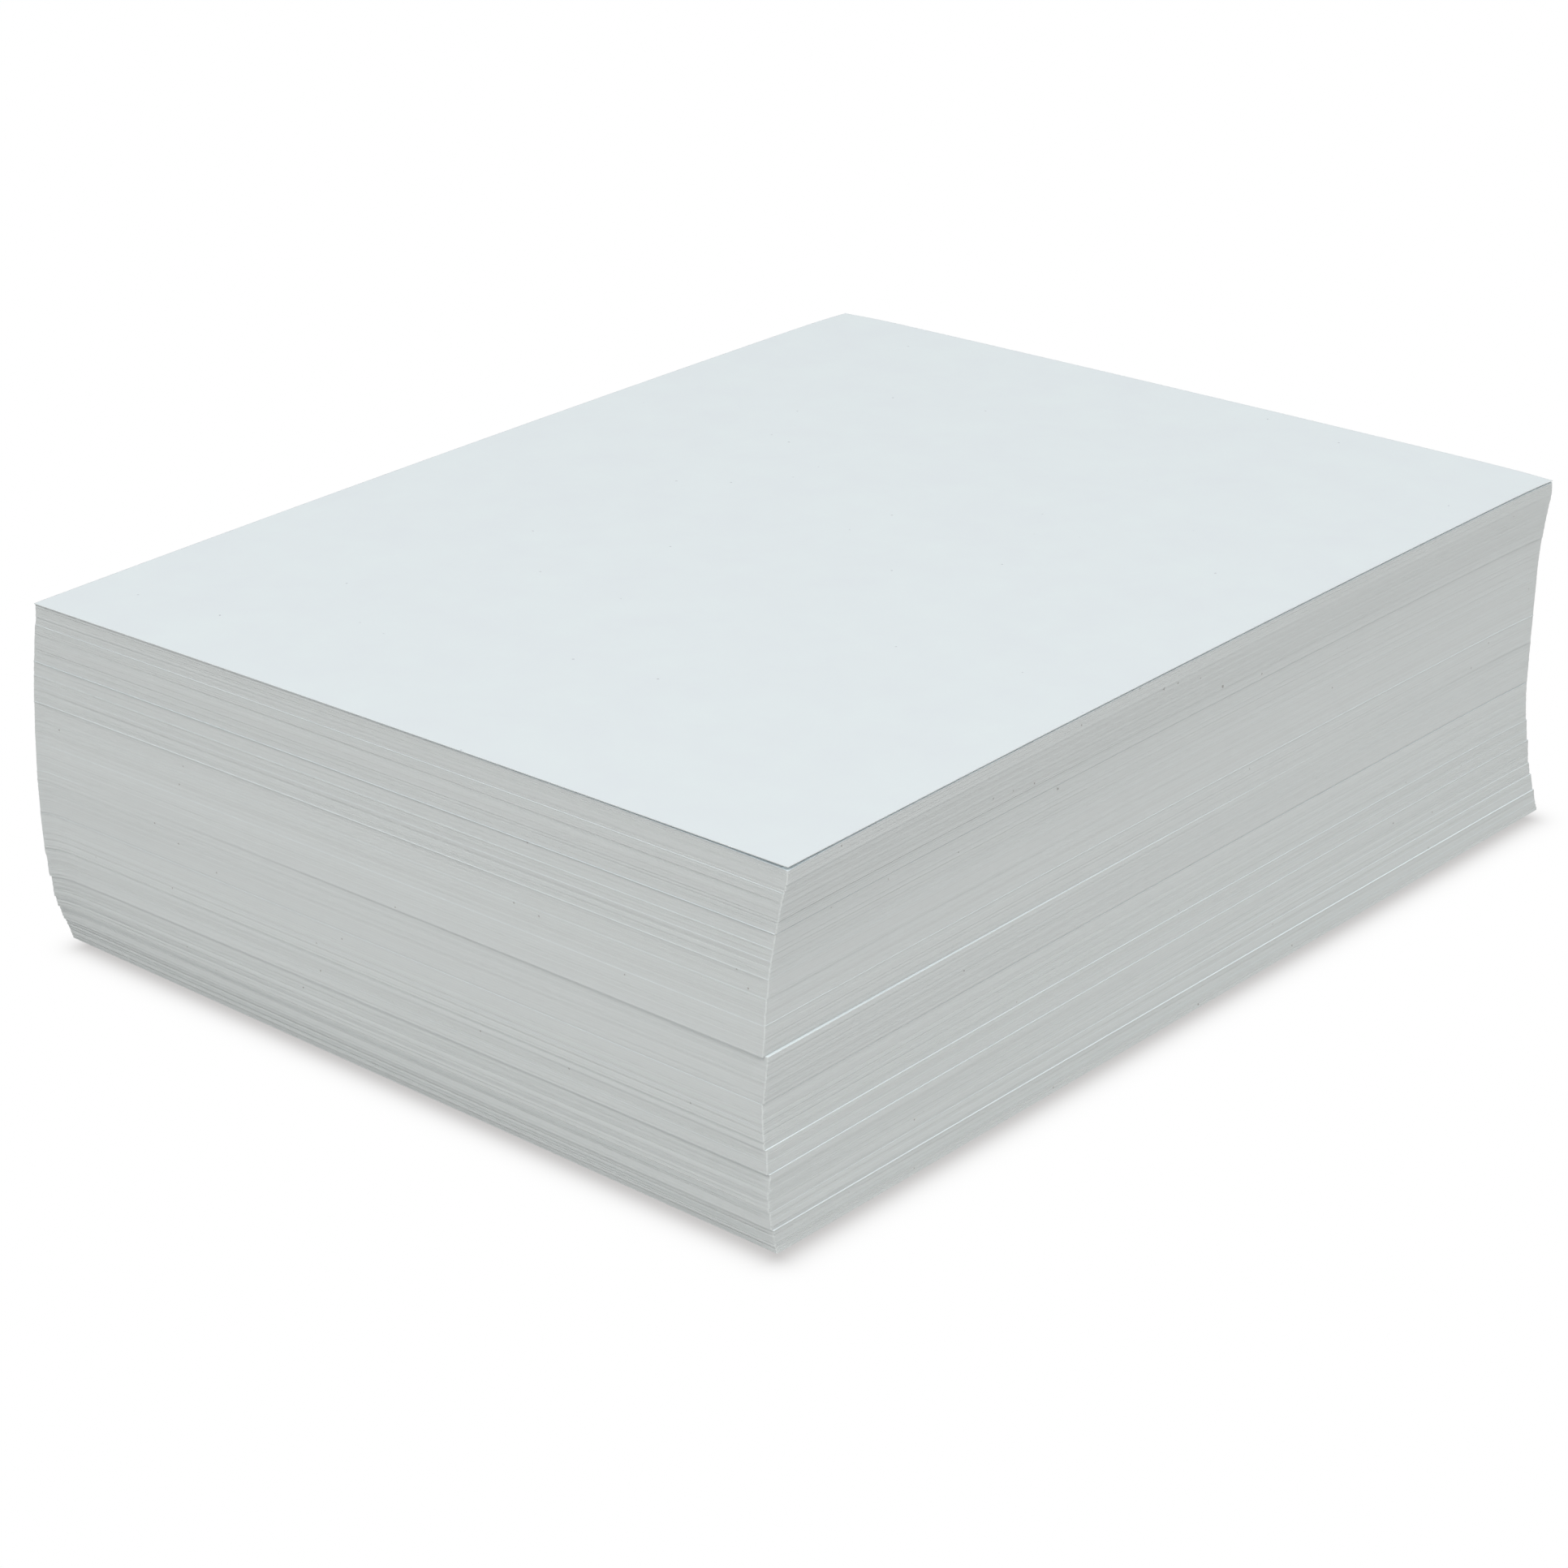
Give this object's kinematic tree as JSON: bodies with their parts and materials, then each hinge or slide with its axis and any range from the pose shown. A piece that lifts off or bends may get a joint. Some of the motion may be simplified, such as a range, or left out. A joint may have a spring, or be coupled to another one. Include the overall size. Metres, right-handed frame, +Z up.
{
  "type": "watercolour paper pack",
  "caption": "Squared stack of loose white watercolour sheets, lying flat in slightly slipped lifts, for painting or drawing one sheet at a time.",
  "frame": {"origin": "centre of the pack's bounding box, on the table under it", "axes": "+X along the sheets' short side, +Y along their long side, +Z up through the pack"},
  "size_m": [0.2252, 0.2864, 0.0855],
  "materials": {
    "watercolour_paper": "matte, uncoated, faint felt texture"
  },
  "bodies": {
    "root": {"lift_01": "watercolour_paper", "lift_02": "watercolour_paper", "stray_sheet_1": "watercolour_paper", "lift_03": "watercolour_paper", "lift_04": "watercolour_paper", "lift_05": "watercolour_paper", "lift_06": "watercolour_paper", "stray_sheet_2": "watercolour_paper", "lift_07": "watercolour_paper", "lift_08": "watercolour_paper", "stray_sheet_3": "watercolour_paper", "lift_09": "watercolour_paper", "lift_10": "watercolour_paper", "stray_sheet_4": "watercolour_paper", "lift_11": "watercolour_paper", "lift_12": "watercolour_paper", "lift_13": "watercolour_paper", "stray_sheet_5": "watercolour_paper", "lift_14": "watercolour_paper", "lift_15": "watercolour_paper", "stray_sheet_6": "watercolour_paper", "lift_16": "watercolour_paper", "lift_17": "watercolour_paper", "lift_18": "watercolour_paper", "stray_sheet_7": "watercolour_paper", "lift_19": "watercolour_paper", "lift_20": "watercolour_paper", "stray_sheet_8": "watercolour_paper", "lift_21": "watercolour_paper", "lift_22": "watercolour_paper", "top_sheet": "watercolour_paper"}
  },
  "joints": []
}
